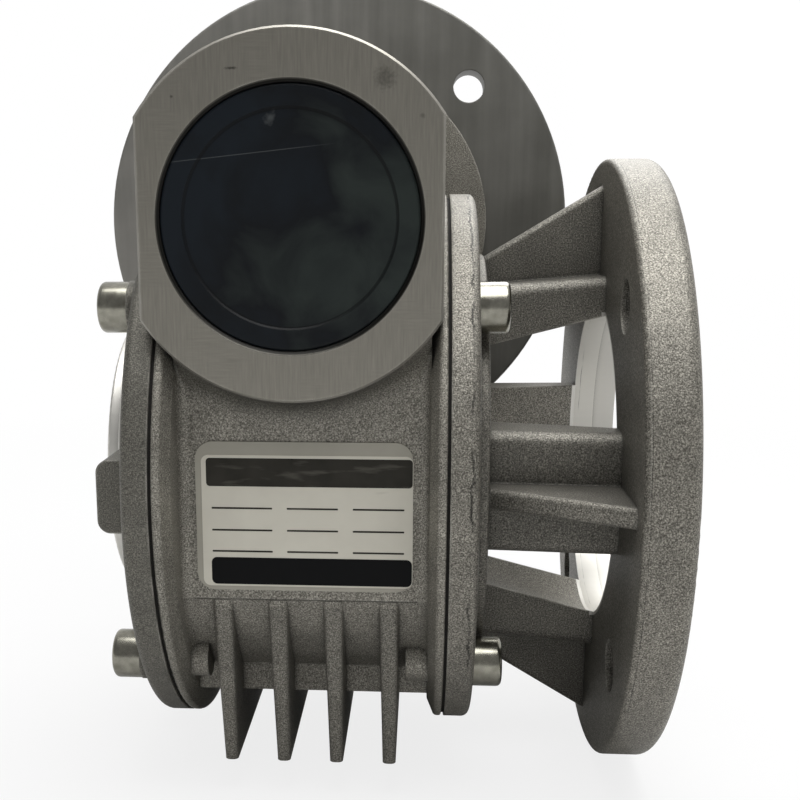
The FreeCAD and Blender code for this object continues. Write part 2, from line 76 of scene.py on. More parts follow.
# The worn edge colour, which also serves as a painted edge highlight; the black of flaws and of painted
# shade; and the grey of painted shade from close walls.
CAST_WORN_AND_HIGHLIGHT, BLACK_FLAW_AND_SHADE, SHADE = "cfccc3", "181714", "2c2d2c"
# The case's skin shades, and how strong its painted shade from close walls is.
CASE_SKIN, CASE_PAINTED_SHADE = ("504d46", "858279", "b8b4aa"), 0.1
# The milled face's shades; the third is a painted highlight on its chamfered edge.
MILLED_WITH_EDGE_HIGHLIGHT = ("79766e", "89867d", "8d8a83")


def linear(shade):
    """An sRGB hex colour as the linear colour that a shader socket takes."""
    parts = [int(shade[i:i + 2], 16) / 255 for i in (0, 2, 4)]
    return [c / 12.92 if c <= 0.04045 else ((c + 0.055) / 1.055) ** 2.4 for c in parts] + [1.0]


def add(tree, kind, values=(), stops=(), **settings):
    """Adds one node: settings are its choices, values set or link its inputs, and stops fill its ramp."""
    node = tree.nodes.new("ShaderNode" + kind)
    for setting, choice in settings.items():
        setattr(node, setting, choice)
    for socket, value in dict(values).items():
        if isinstance(value, bpy.types.NodeSocket):
            tree.links.new(value, node.inputs[socket])
        else:
            node.inputs[socket].default_value = value
    for number, (at, shade) in enumerate(stops):
        ramp = node.color_ramp.elements
        stop = ramp[number] if number < 2 else ramp.new(at)
        stop.position, stop.color = at, linear(shade)
    return node


def new_finish(name):
    """An empty material, its node tree and the Object coordinates of its surface."""
    finish = bpy.data.materials.new(name)
    finish.use_nodes = True
    finish.node_tree.nodes.clear()
    place = add(finish.node_tree, "TexCoord").outputs["Object"]
    return finish, finish.node_tree, place


def dress(node, finish):
    """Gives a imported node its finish."""
    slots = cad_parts[node].data.materials
    slots.clear()
    slots.append(finish)


def cast_aluminium(name, grit, skins, painted_shade_share, cut, cut_shades, darkening):
    """Shot-blasted die casting: a matt grey skin of fine grain, with painted shade in its corners and where
    other walls stand close, and edges rubbed bright in places, which also serve as a painted edge highlight.
    cut gives where a cutter has been and its marks, and the last argument where the skin is blackened: by
    flaws, and on the case also by painted shade."""
    finish, tree, place = new_finish(name)
    grain = add(tree, "TexNoise", {"Vector": place, "Scale": 1 / grit, "Detail": 2.0, "Roughness": 0.6})
    blotch = add(tree, "TexNoise", {"Vector": place, "Scale": 1 / BLOTCH, "Detail": 4.0})
    skin = add(tree, "ValToRGB", {"Fac": grain.outputs["Fac"]},
               [(0.32, skins[0]), (0.70, skins[2]), (0.52, skins[1])])
    cloudy = add(tree, "MapRange", {"Value": blotch.outputs["Fac"], "From Min": 0.3, "From Max": 0.7,
                                    "To Min": 0.88, "To Max": 1.08})
    skin = add(tree, "VectorMath", {0: skin.outputs["Color"], 1: cloudy.outputs["Result"]},
               operation="MULTIPLY")
    # Painted shade: where walls of the same casting stand within reach, the skin is mixed towards a dark
    # grey.
    close = add(tree, "AmbientOcclusion", {"Distance": PAINTED_SHADE_REACH}, samples=4, only_local=True)
    close_wall_shade = add(tree, "MapRange", {"Value": close.outputs["AO"], "To Min": painted_shade_share, "To Max": 0.0})
    skin = add(tree, "MixRGB", {"Fac": close_wall_shade.outputs["Result"], "Color1": skin.outputs["Vector"],
                                "Color2": linear(SHADE)})
    where, marks = cut(tree, place)
    milled = add(tree, "ValToRGB", {"Fac": marks},
                 [(0.25, cut_shades[0]), (1.0, cut_shades[2]), (0.75, cut_shades[1])])
    skin = add(tree, "MixRGB", {"Fac": where, "Color1": skin.outputs["Color"],
                                "Color2": milled.outputs["Color"]})
    open_sky = add(tree, "AmbientOcclusion", {"Distance": CORNER_REACH}, samples=4, only_local=True)
    rounded = add(tree, "Bevel", {"Radius": SKIN_ROUND}, samples=4)
    flat = add(tree, "NewGeometry")
    bend = add(tree, "VectorMath", {0: rounded.outputs["Normal"], 1: flat.outputs["Normal"]},
               operation="DOT_PRODUCT")
    edge = add(tree, "MapRange", {"Value": bend.outputs["Value"], "From Min": 0.97, "From Max": 0.80})
    proud = add(tree, "MapRange", {"Value": open_sky.outputs["AO"], "From Min": 0.80, "From Max": 0.97})
    nicks = add(tree, "MapRange", {"Value": blotch.outputs["Fac"], "From Min": 0.42, "From Max": 0.62,
                                   "To Min": 0.12, "To Max": 0.75})
    # Convex edges are lightened in patches: partly real rubbing, partly a painted edge highlight.
    rubbed = add(tree, "Math", {0: edge.outputs["Result"], 1: proud.outputs["Result"]}, operation="MULTIPLY")
    rubbed = add(tree, "Math", {0: rubbed.outputs["Value"], 1: nicks.outputs["Result"]},
                 operation="MULTIPLY")
    skin = add(tree, "MixRGB", {"Fac": rubbed.outputs["Value"], "Color1": skin.outputs["Color"],
                                "Color2": linear(CAST_WORN_AND_HIGHLIGHT)})
    # Painted shade: tight corners, where the close occlusion is strong, are darkened towards black.
    painted_corner_shade = add(tree, "MapRange", {"Value": open_sky.outputs["AO"], "From Min": 0.35, "From Max": 0.88,
                                  "To Min": CORNER_PAINTED_SHADE, "To Max": 0.0})
    black = add(tree, "Math", {0: painted_corner_shade.outputs["Result"], 1: darkening(tree, place)}, operation="MAXIMUM")
    skin = add(tree, "MixRGB", {"Fac": black.outputs["Value"], "Color1": skin.outputs["Color"],
                                "Color2": linear(BLACK_FLAW_AND_SHADE)})
    uncut = add(tree, "MapRange", {"Value": where, "To Min": 1.0, "To Max": 0.0})
    rough = add(tree, "MapRange", {"Value": where, "To Min": CAST_ROUGH, "To Max": CUT_ROUGH})
    metal = add(tree, "MapRange", {"Value": where, "To Min": CAST_METAL, "To Max": CUT_METAL})
    crisp = add(tree, "MixRGB", {"Fac": where, "Color1": rounded.outputs["Normal"],
                                 "Color2": flat.outputs["Normal"]})
    blasted = add(tree, "Bump", {"Strength": uncut.outputs["Result"], "Distance": PIT_DEPTH_SHARE * grit,
                                 "Height": grain.outputs["Fac"], "Normal": crisp.outputs["Color"]})
    tool = add(tree, "Bump", {"Strength": where, "Distance": CUT_DEPTH, "Height": marks,
                              "Normal": blasted.outputs["Normal"]})
    shader = add(tree, "BsdfPrincipled", {"Base Color": skin.outputs["Color"],
                                          "Metallic": metal.outputs["Result"],
                                          "Roughness": rough.outputs["Result"],
                                          "Normal": tool.outputs["Normal"]})
    add(tree, "OutputMaterial", {"Surface": shader.outputs["BSDF"]})
    return finish


CAP_SET_BACK, FACE_DEPTH = 0.4 * MM, 0.05 * MM
BARREL_R = 28.6 * MM
BORE_EDGE = (20.35 * MM, 20.62 * MM)
CHAMFER_FROM_R = 1.1 * BORE_EDGE[1]
# A face mill leaves marks about 0.1 mm apart. They are drawn wider so that they show.
MARK_W, UPRIGHT_MARK, LEVEL_MARK, MARK_PATCH = 0.3 * MM, 5 * MM, 4 * MM, 9 * MM
worm_low, worm_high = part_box("worm_shaft")
worm_axis_at = (worm_low + worm_high) / 2
barrel_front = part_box("end_cap")[0].y
barrel_face = barrel_front - CAP_SET_BACK


def worm_radius(tree, place):
    """Distance from the worm's axis."""
    centred = add(tree, "VectorMath", {0: place, 1: worm_axis_at}, operation="SUBTRACT")
    flat = add(tree, "VectorMath", {0: centred.outputs["Vector"], 1: (1, 0, 1)}, operation="MULTIPLY")
    return add(tree, "VectorMath", {0: flat.outputs["Vector"]}, operation="LENGTH").outputs["Value"]


def milled_barrel_end(tree, place):
    """Where the face mill has been on the case, its marks, upright in some patches and level in others, and
    a painted highlight in patches along the chamfered edge of the face."""
    across = add(tree, "SeparateXYZ", {"Vector": place})
    front = add(tree, "Math", {0: across.outputs["Y"], 1: barrel_front}, operation="LESS_THAN")
    radius = worm_radius(tree, place)
    inside = add(tree, "Math", {0: radius, 1: BARREL_R}, operation="LESS_THAN")
    where = add(tree, "Math", {0: front.outputs["Value"], 1: inside.outputs["Value"]}, operation="MULTIPLY")
    upright = add(tree, "Mapping", {"Vector": place, "Scale": (1 / MARK_W, 1.0, 1 / UPRIGHT_MARK)})
    level = add(tree, "Mapping", {"Vector": place, "Scale": (1 / LEVEL_MARK, 1.0, 1 / MARK_W)})
    first = add(tree, "TexNoise", {"Vector": upright.outputs["Vector"], "Scale": 1.0, "Detail": 3.0})
    second = add(tree, "TexNoise", {"Vector": level.outputs["Vector"], "Scale": 1.0, "Detail": 3.0})
    patch = add(tree, "TexNoise", {"Vector": place, "Scale": 1 / MARK_PATCH, "Detail": 3.0})
    turned = add(tree, "MapRange", {"Value": patch.outputs["Fac"], "From Min": 0.48, "From Max": 0.66})
    marks = add(tree, "MixRGB", {"Fac": turned.outputs["Result"], "Color1": first.outputs["Fac"],
                                 "Color2": second.outputs["Fac"]})
    # Painted highlight: the chamfer round the face's outer edge is raised in patches to the lightest shade.
    edge = add(tree, "Math", {0: across.outputs["Y"], 1: barrel_face + FACE_DEPTH}, operation="GREATER_THAN")
    outer = add(tree, "Math", {0: radius, 1: CHAMFER_FROM_R}, operation="GREATER_THAN")
    edge = add(tree, "Math", {0: edge.outputs["Value"], 1: outer.outputs["Value"]}, operation="MULTIPLY")
    edge = add(tree, "Math", {0: edge.outputs["Value"], 1: patch.outputs["Fac"]}, operation="MULTIPLY")
    marks = add(tree, "Math", {0: marks.outputs["Color"], 1: edge.outputs["Value"]}, operation="ADD")
    return where.outputs["Value"], marks.outputs["Value"]


UNDER_EDGE, UNDER_Z = (28.0 * MM, 33.5 * MM), (15 * MM, 25 * MM)
LEDGE_Z, LEDGE_HALF, LEDGE_LINE = -17.3 * MM, 18.6 * MM, 0.2 * MM
FIN_FOOT_R, FIN_SPACE, FIN_HALF = 43.3 * MM, 9.3 * MM, 1.75 * MM
# How dark the painted shade gets in the bore's mouth and on the fins, and the painted shadows under the
# barrel and along the ledge.
MOUTH_PAINTED_SHADE, UNDER_BARREL_PAINTED_SHADOW, LEDGE_PAINTED_SHADOW, FIN_PAINTED_SHADE = 0.6, 0.8, 0.6, 0.28
RAGGED = 0.5 * MM
# Each flaw on the milled end: its middle across and up, its half width and half height, and its blackness.
BARREL_FLAWS = (((-9.8 * MM, 66.6 * MM), (1.3 * MM, 0.28 * MM), 0.75),
                ((13.1 * MM, 64.9 * MM), (2.1 * MM, 2.2 * MM), 0.42),
                ((-18.8 * MM, 62.7 * MM), (0.35 * MM, 0.3 * MM), 0.6),
                ((18.7 * MM, 59.5 * MM), (0.55 * MM, 0.5 * MM), 0.35))


def barrel_flaws_and_shade(tree, place):
    """A dark nick, a smudge and two specks on the milled end of the barrel, and painted shade: black inside
    the bore and its mouth, a shadow under the barrel's lower edge, a shadow line along the ledge above the
    fins and a darker tone on the fins."""
    ragged = add(tree, "TexNoise", {"Vector": place, "Scale": 1 / RAGGED, "Detail": 2.0})
    radius = worm_radius(tree, place)
    across = add(tree, "SeparateXYZ", {"Vector": place})
    # Painted shade: the bore and the chamfer round the recessed cap are painted black, a little lighter at
    # the outer edge.
    mouth = add(tree, "Math", {0: radius, 1: BORE_EDGE[1]}, operation="LESS_THAN")
    depth = add(tree, "MapRange", {"Value": radius, "From Min": BORE_EDGE[0], "From Max": BORE_EDGE[1],
                                   "To Min": 1.0, "To Max": MOUTH_PAINTED_SHADE})
    mouth = add(tree, "Math", {0: mouth.outputs["Value"], 1: depth.outputs["Result"]}, operation="MULTIPLY")
    # Painted shadow: a dark band just below the barrel's lower edge, on the case behind the milled face.
    under = add(tree, "MapRange", {"Value": radius, "From Min": UNDER_EDGE[0], "From Max": UNDER_EDGE[1],
                                   "To Min": UNDER_BARREL_PAINTED_SHADOW, "To Max": 0.0})
    below = add(tree, "MapRange", {"Value": across.outputs["Z"], "From Min": UNDER_Z[0],
                                   "From Max": UNDER_Z[1], "To Min": 1.0, "To Max": 0.0})
    behind = add(tree, "Math", {0: across.outputs["Y"], 1: barrel_front}, operation="GREATER_THAN")
    under_barrel_shadow = add(tree, "Math", {0: under.outputs["Result"], 1: below.outputs["Result"]}, operation="MULTIPLY")
    under_barrel_shadow = add(tree, "Math", {0: under_barrel_shadow.outputs["Value"], 1: behind.outputs["Value"]}, operation="MULTIPLY")
    found = add(tree, "Math", {0: mouth.outputs["Value"], 1: under_barrel_shadow.outputs["Value"]}, operation="MAXIMUM")
    # Painted shadow: a thin dark line along the ledge above the fins.
    ledge = add(tree, "Math", {0: across.outputs["Z"], 1: LEDGE_Z, 2: LEDGE_LINE}, operation="COMPARE")
    ledge = add(tree, "Math", {0: ledge.outputs["Value"], 1: LEDGE_PAINTED_SHADOW}, operation="MULTIPLY")
    # Painted shade: the fins' outer faces below the ledge are darkened a little.
    wheel_flat = add(tree, "VectorMath", {0: place, 1: (0, 1, 1)}, operation="MULTIPLY")
    wheel_r = add(tree, "VectorMath", {0: wheel_flat.outputs["Vector"]}, operation="LENGTH")
    proud = add(tree, "Math", {0: wheel_r.outputs["Value"], 1: FIN_FOOT_R}, operation="GREATER_THAN")
    gap = add(tree, "Math", {0: across.outputs["X"], 1: FIN_SPACE / 2}, operation="PINGPONG")
    on_fin = add(tree, "Math", {0: gap.outputs["Value"], 1: FIN_SPACE / 2 - FIN_HALF},
                 operation="GREATER_THAN")
    proud = add(tree, "Math", {0: proud.outputs["Value"], 1: on_fin.outputs["Value"]}, operation="MULTIPLY")
    low = add(tree, "Math", {0: across.outputs["Z"], 1: LEDGE_Z}, operation="LESS_THAN")
    fin_shade = add(tree, "Math", {0: proud.outputs["Value"], 1: low.outputs["Value"]}, operation="MULTIPLY")
    fin_shade = add(tree, "Math", {0: fin_shade.outputs["Value"], 1: FIN_PAINTED_SHADE}, operation="MULTIPLY")
    lower = add(tree, "Math", {0: ledge.outputs["Value"], 1: fin_shade.outputs["Value"]}, operation="MAXIMUM")
    middle = add(tree, "Math", {0: across.outputs["X"], 1: 0.0, 2: LEDGE_HALF}, operation="COMPARE")
    lower = add(tree, "Math", {0: lower.outputs["Value"], 1: middle.outputs["Value"]}, operation="MULTIPLY")
    found = add(tree, "Math", {0: found.outputs["Value"], 1: lower.outputs["Value"]}, operation="MAXIMUM")
    for (x, z), (half_x, half_z), blackness in BARREL_FLAWS:
        off = add(tree, "VectorMath", {0: place, 1: (x, barrel_front, z)}, operation="SUBTRACT")
        shares = add(tree, "VectorMath", {0: off.outputs["Vector"], 1: (1 / half_x, 1 / MM, 1 / half_z)},
                     operation="MULTIPLY")
        away = add(tree, "VectorMath", {0: shares.outputs["Vector"]}, operation="LENGTH")
        away = add(tree, "Math", {0: away.outputs["Value"], 1: ragged.outputs["Fac"]}, operation="ADD")
        mark = add(tree, "MapRange", {"Value": away.outputs["Value"], "From Min": 0.9, "From Max": 1.5,
                                      "To Min": blackness, "To Max": 0.0})
        found = add(tree, "Math", {0: found.outputs["Value"], 1: mark.outputs["Result"]},
                    operation="MAXIMUM")
    return found.outputs["Value"]


dress("gear_case", cast_aluminium("blasted_cast_aluminium_case", FINE_GRAIN, CASE_SKIN, CASE_PAINTED_SHADE,
                                  milled_barrel_end, MILLED_WITH_EDGE_HIGHLIGHT, barrel_flaws_and_shade))


# Worm shaft: case-hardened alloy steel, with three worm threads ground in one piece with the shaft.
# Its wide end is bored and keyed for the motor's shaft. Grinding leaves it bright with fine rings.
TURN_PITCH = 0.25 * MM
# The wave node turns through 20 radians in one unit, so at this scale its rings lie about six pitches apart.
# They are drawn that coarse so that they show.
WAVE_RATE = 20
OIL_FILM = 6 * MM
STEEL_ROUND = 0.25 * MM
WORM_DARK, WORM_LIGHT, WORM_ROUGH = "7f8184", "b3b4b5", 0.28


def bright_steel(name, dark, light, axis, middle, rough):
    """Ground steel: a bright grey with fine rings about its own axis and a faint film of oil."""
    finish, tree, place = new_finish(name)
    centred = add(tree, "VectorMath", {0: place, 1: middle}, operation="SUBTRACT")
    rings = add(tree, "TexWave", {"Vector": centred.outputs["Vector"], "Scale": 1 / (WAVE_RATE * TURN_PITCH),
                                  "Distortion": 1.5, "Detail": 2.0, "Detail Scale": 2.0},
                wave_type="BANDS", bands_direction=axis)
    film = add(tree, "TexNoise", {"Vector": place, "Scale": 1 / OIL_FILM, "Detail": 3.0})
    shade = add(tree, "MixRGB", {"Fac": film.outputs["Fac"], "Color1": linear(dark),
                                 "Color2": linear(light)})
    gloss = add(tree, "MapRange", {"Value": film.outputs["Fac"], "To Min": rough - 0.08,
                                   "To Max": rough + 0.1})
    rounded = add(tree, "Bevel", {"Radius": STEEL_ROUND}, samples=4)
    grooves = add(tree, "Bump", {"Strength": 0.25, "Distance": CUT_DEPTH, "Height": rings.outputs["Fac"],
                                 "Normal": rounded.outputs["Normal"]})
    shader = add(tree, "BsdfPrincipled", {"Base Color": shade.outputs["Color"], "Metallic": 1.0,
                                          "Roughness": gloss.outputs["Result"],
                                          "Normal": grooves.outputs["Normal"]})
    add(tree, "OutputMaterial", {"Surface": shader.outputs["BSDF"]})
    return finish


dress("worm_shaft", bright_steel("ground_worm_steel", WORM_DARK, WORM_LIGHT, "Y", worm_axis_at, WORM_ROUGH))


# Worm wheel rim: a ring of tin bronze cast round the hub, with thirty hobbed teeth of throated form.
# Fresh bronze is yellow-brown and a little uneven. Oil leaves it duller in the tooth gaps, which is not
# drawn.
TARNISH, CUTTER_MARK, TOOTH_ROUND = 5 * MM, 0.4 * MM, 0.2 * MM
SKIN_DEPTH = 0.02 * MM
BRONZE_DARK, BRONZE_MID, BRONZE_LIGHT = "7a5526", "a97a3c", "c79a56"


def bronze(name):
    """Hobbed tin bronze: warm yellow-brown, a little uneven, with fine cutter marks."""
    finish, tree, place = new_finish(name)
    tarnish = add(tree, "TexNoise", {"Vector": place, "Scale": 1 / TARNISH, "Detail": 4.0})
    shade = add(tree, "ValToRGB", {"Fac": tarnish.outputs["Fac"]},
                [(0.3, BRONZE_DARK), (0.75, BRONZE_LIGHT), (0.5, BRONZE_MID)])
    marks = add(tree, "TexNoise", {"Vector": place, "Scale": 1 / CUTTER_MARK, "Detail": 2.0})
    rough = add(tree, "MapRange", {"Value": tarnish.outputs["Fac"], "To Min": 0.28, "To Max": 0.46})
    rounded = add(tree, "Bevel", {"Radius": TOOTH_ROUND}, samples=4)
    grooves = add(tree, "Bump", {"Strength": 0.3, "Distance": SKIN_DEPTH, "Height": marks.outputs["Fac"],
                                 "Normal": rounded.outputs["Normal"]})
    shader = add(tree, "BsdfPrincipled", {"Base Color": shade.outputs["Color"], "Metallic": 1.0,
                                          "Roughness": rough.outputs["Result"],
                                          "Normal": grooves.outputs["Normal"]})
    add(tree, "OutputMaterial", {"Surface": shader.outputs["BSDF"]})
    return finish


dress("wheel_rim", bronze("hobbed_tin_bronze"))


# Output hub: spheroidal cast iron, turned all over, that carries the bronze rim and takes the driven shaft
# in its keyed bore. Turned iron is a darker grey than steel, with rings from the lathe.
IRON_DARK, IRON_LIGHT, IRON_ROUGH = "55565a", "808184", 0.34
wheel_axis_at = Vector((0, 0, 0))
dress("output_hub", bright_steel("turned_cast_iron", IRON_DARK, IRON_LIGHT, "X", wheel_axis_at, IRON_ROUGH))


# Bearings: four deep-groove ball bearings with ground steel rings, closed on both sides by moulded black
# rubber seals. Spring-steel circlips hold the two worm bearings in the barrel.
BEARING_AXES = {"worm_bearing_blind": "Y", "worm_bearing_motor": "Y",
                "wheel_bearing_left": "X", "wheel_bearing_right": "X"}
RING_DARK, RING_LIGHT, RING_ROUGH = "9a9b9c", "c4c4c3", 0.24
SPRING_DARK, SPRING_LIGHT, SPRING_ROUGH = "2c2b29", "45433f", 0.45
RUBBER_DARK, RUBBER_LIGHT, RUBBER_ROUGH = "17181a", "2b2c2e", 0.55
BLOOM, RUBBER_PORE, RUBBER_ROUND = 4 * MM, 0.3 * MM, 0.3 * MM


def moulded_rubber(name):
    """Moulded nitrile rubber: a soft black with a faint grey bloom and a fine grain."""
    finish, tree, place = new_finish(name)
    bloom = add(tree, "TexNoise", {"Vector": place, "Scale": 1 / BLOOM, "Detail": 4.0})
    shade = add(tree, "MixRGB", {"Fac": bloom.outputs["Fac"], "Color1": linear(RUBBER_DARK),
                                 "Color2": linear(RUBBER_LIGHT)})
    pores = add(tree, "TexNoise", {"Vector": place, "Scale": 1 / RUBBER_PORE, "Detail": 2.0})
    rounded = add(tree, "Bevel", {"Radius": RUBBER_ROUND}, samples=4)
    skin = add(tree, "Bump", {"Strength": 0.3, "Distance": SKIN_DEPTH, "Height": pores.outputs["Fac"],
                              "Normal": rounded.outputs["Normal"]})
    gloss = add(tree, "MapRange", {"Value": bloom.outputs["Fac"], "To Min": RUBBER_ROUGH - 0.08,
                                   "To Max": RUBBER_ROUGH + 0.08})
    shader = add(tree, "BsdfPrincipled", {"Base Color": shade.outputs["Color"],
                                          "Roughness": gloss.outputs["Result"],
                                          "Specular IOR Level": 0.3, "Normal": skin.outputs["Normal"]})
    add(tree, "OutputMaterial", {"Surface": shader.outputs["BSDF"]})
    return finish


seal_rubber = moulded_rubber("moulded_seal_rubber")
for bearing, axis in BEARING_AXES.items():
    low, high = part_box(bearing + "_outer")
    ring_steel = bright_steel("ground_ring_steel_" + bearing, RING_DARK, RING_LIGHT, axis, (low + high) / 2,
                              RING_ROUGH)
    dress(bearing + "_outer", ring_steel)
    dress(bearing + "_inner", ring_steel)
    dress(bearing + "_seals", seal_rubber)
spring_steel = bright_steel("phosphated_spring_steel", SPRING_DARK, SPRING_LIGHT, "Y", worm_axis_at,
                            SPRING_ROUGH)
dress("worm_circlip_blind", spring_steel)
dress("worm_circlip_motor", spring_steel)


# Oil seals: three lip seals of black nitrile rubber moulded on steel rings. One is pressed into the motor
# side and one into each output side, and they keep the oil in where the shafts come out.
dress("input_oil_seal", seal_rubber)
dress("output_oil_seal_left", seal_rubber)
dress("output_oil_seal_right", seal_rubber)


# End cap: a steel cup covered in blue-black rubber, pushed into the blind end of the barrel.
# Its face is smooth, with a shallow step outlined by a painted dark line of shade, one light scratch and
# scuff, and it is painted greener and greyer towards the lower right.
SMEAR, CAP_PORE, CAP_ROUND = 11 * MM, 0.5 * MM, 0.3 * MM
SMEAR_SHARE, LIGHTER_SIDE = 0.6, (0.007 / MM, 0.0, -0.003 / MM)
CAP_BLUE, CAP_BLACK, CAP_GREEN = "11171d", "090d11", "252b29"
SCRATCH_ACROSS, SCRATCH_AT = (-0.1018, 0.0, 0.9948), 54.88 * MM
SCRATCH_W, SCRATCH_ENDS = (0.02 * MM, 0.10 * MM), (6 * MM, -2 * MM)
SCUFF_AT = (-4.2 * MM, barrel_front, 59.3 * MM)
SCUFF_SQUEEZE, SCUFF_GRAIN, SCUFF_STRAY = (1.3, 1.0, 0.8), 1.1 * MM, 3.4 * MM
SCUFF_R = (1.5 * MM, 3.0 * MM)
STEP_R, STEP_LINE = 16.4 * MM, 0.25 * MM
CAP_SCUFFED, CAP_STEP_PAINTED_SHADE = "8d9190", "020304"


def rubbed_cap(name):
    """Rubber-covered cup: a smooth blue-black, greener and greyer towards the lower right, greyer where it
    has been rubbed, and a painted line of shade along its step.
    """
    finish, tree, place = new_finish(name)
    smear = add(tree, "TexNoise", {"Vector": place, "Scale": 1 / SMEAR, "Detail": 4.0, "Distortion": 0.6})
    across = add(tree, "SeparateXYZ", {"Vector": place})
    centred = add(tree, "VectorMath", {0: place, 1: worm_axis_at}, operation="SUBTRACT")
    # The face is painted lighter and greener towards the lower right.
    lean = add(tree, "VectorMath", {0: centred.outputs["Vector"], 1: LIGHTER_SIDE}, operation="DOT_PRODUCT")
    lean = add(tree, "Math", {0: smear.outputs["Fac"], 1: SMEAR_SHARE, 2: lean.outputs["Value"]},
               operation="MULTIPLY_ADD")
    shade = add(tree, "ValToRGB", {"Fac": lean.outputs["Value"]},
                [(0.16, CAP_BLUE), (0.46, CAP_GREEN), (0.30, CAP_BLACK)])
    pores = add(tree, "TexNoise", {"Vector": place, "Scale": 1 / CAP_PORE, "Detail": 2.0})
    smudge = add(tree, "TexNoise", {"Vector": place, "Scale": 1 / SCUFF_GRAIN, "Detail": 4.0})
    drop = add(tree, "VectorMath", {0: place, 1: SCRATCH_ACROSS}, operation="DOT_PRODUCT")
    drop = add(tree, "Math", {0: drop.outputs["Value"], 1: SCRATCH_AT}, operation="SUBTRACT")
    drop = add(tree, "Math", {0: drop.outputs["Value"]}, operation="ABSOLUTE")
    line = add(tree, "MapRange", {"Value": drop.outputs["Value"], "From Min": SCRATCH_W[0],
                                  "From Max": SCRATCH_W[1], "To Min": 0.16, "To Max": 0.0})
    fading = add(tree, "MapRange", {"Value": across.outputs["X"], "From Min": SCRATCH_ENDS[0],
                                    "From Max": SCRATCH_ENDS[1]})
    line = add(tree, "Math", {0: line.outputs["Result"], 1: fading.outputs["Result"]}, operation="MULTIPLY")
    off = add(tree, "VectorMath", {0: place, 1: SCUFF_AT}, operation="SUBTRACT")
    off = add(tree, "VectorMath", {0: off.outputs["Vector"], 1: SCUFF_SQUEEZE}, operation="MULTIPLY")
    off = add(tree, "VectorMath", {0: off.outputs["Vector"]}, operation="LENGTH")
    away = add(tree, "Math", {0: smudge.outputs["Fac"], 1: SCUFF_STRAY, 2: off.outputs["Value"]},
               operation="MULTIPLY_ADD")
    scuff = add(tree, "MapRange", {"Value": away.outputs["Value"], "From Min": SCUFF_R[0],
                                   "From Max": SCUFF_R[1], "To Min": 0.20, "To Max": 0.0})
    rub = add(tree, "Math", {0: line.outputs["Value"], 1: scuff.outputs["Result"]}, operation="MAXIMUM")
    shade = add(tree, "MixRGB", {"Fac": rub.outputs["Value"], "Color1": shade.outputs["Color"],
                                 "Color2": linear(CAP_SCUFFED)})
    # Painted shade: a dark line along the shallow step in the face.
    step_shade = add(tree, "Math", {0: worm_radius(tree, place), 1: STEP_R, 2: STEP_LINE}, operation="COMPARE")
    step_shade = add(tree, "Math", {0: step_shade.outputs["Value"], 1: 0.6}, operation="MULTIPLY")
    shade = add(tree, "MixRGB", {"Fac": step_shade.outputs["Value"], "Color1": shade.outputs["Color"],
                                 "Color2": linear(CAP_STEP_PAINTED_SHADE)})
    rounded = add(tree, "Bevel", {"Radius": CAP_ROUND}, samples=4)
    skin = add(tree, "Bump", {"Strength": 0.15, "Distance": SKIN_DEPTH, "Height": pores.outputs["Fac"],
                              "Normal": rounded.outputs["Normal"]})
    gloss = add(tree, "MapRange", {"Value": smear.outputs["Fac"], "To Min": 0.38, "To Max": 0.56})
    shader = add(tree, "BsdfPrincipled", {"Base Color": shade.outputs["Color"],
                                          "Roughness": gloss.outputs["Result"],
                                          "Specular IOR Level": 0.16, "Normal": skin.outputs["Normal"]})
    add(tree, "OutputMaterial", {"Surface": shader.outputs["BSDF"]})
    return finish


dress("end_cap", rubbed_cap("rubbed_blue_black_rubber"))


# Gaskets: two rings of dark fibre paper between the case and its side castings, soaked with oil.
# They are cut from sheet and pinched by the cover screws, and only their thin edge shows.
FIBRE, FIBRE_DEPTH = 0.4 * MM, 0.05 * MM
PAPER_DARK, PAPER_LIGHT = "131211", "2e2c29"


def fibre_paper(name):
    """Oil-soaked fibre paper: nearly black, dull, with short fibres."""
    finish, tree, place = new_finish(name)
    fibres = add(tree, "TexNoise", {"Vector": place, "Scale": 1 / FIBRE, "Detail": 4.0, "Distortion": 1.0})
    shade = add(tree, "MixRGB", {"Fac": fibres.outputs["Fac"], "Color1": linear(PAPER_DARK),
                                 "Color2": linear(PAPER_LIGHT)})
    skin = add(tree, "Bump", {"Strength": 0.6, "Distance": FIBRE_DEPTH, "Height": fibres.outputs["Fac"]})
    shader = add(tree, "BsdfPrincipled", {"Base Color": shade.outputs["Color"], "Roughness": 0.8,
                                          "Specular IOR Level": 0.2, "Normal": skin.outputs["Normal"]})
    add(tree, "OutputMaterial", {"Surface": shader.outputs["BSDF"]})
    return finish


gasket_paper = fibre_paper("oiled_fibre_paper")
dress("side_cover_gasket", gasket_paper)
dress("output_flange_gasket", gasket_paper)


# Side cover: a round aluminium casting, blasted as the case is and held to it by four screws. Its hub is
# turned in two steps to take the oil seal, and four cast lugs stand round it.
TURNED_HUB_R, HUB_FOOT = 27.0 * MM, 28.5 * MM
PIT_SPACE, PIT_SOOT = 5 * MM, 0.7
# The cover's skin shades, and how strong its painted shade from close walls is.
COVER_SKIN, COVER_PAINTED_SHADE = ("46443e", "67655e", "87847b"), 0.2
TURNED_HUB = ("c6c4be", "eae8e2", "eae8e2")


def lathe_rings(tree, place):
    """Rings that a lathe tool leaves round the output axis, and the distance from that axis."""
    across = add(tree, "SeparateXYZ", {"Vector": place})
    flat = add(tree, "CombineXYZ", {"Y": across.outputs["Y"], "Z": across.outputs["Z"]})
    radius = add(tree, "VectorMath", {0: flat.outputs["Vector"]}, operation="LENGTH")
    rings = add(tree, "TexNoise", {"W": radius.outputs["Value"], "Scale": 1 / TURN_PITCH, "Detail": 2.0},
                noise_dimensions="1D")
    return across, radius.outputs["Value"], rings.outputs["Fac"]


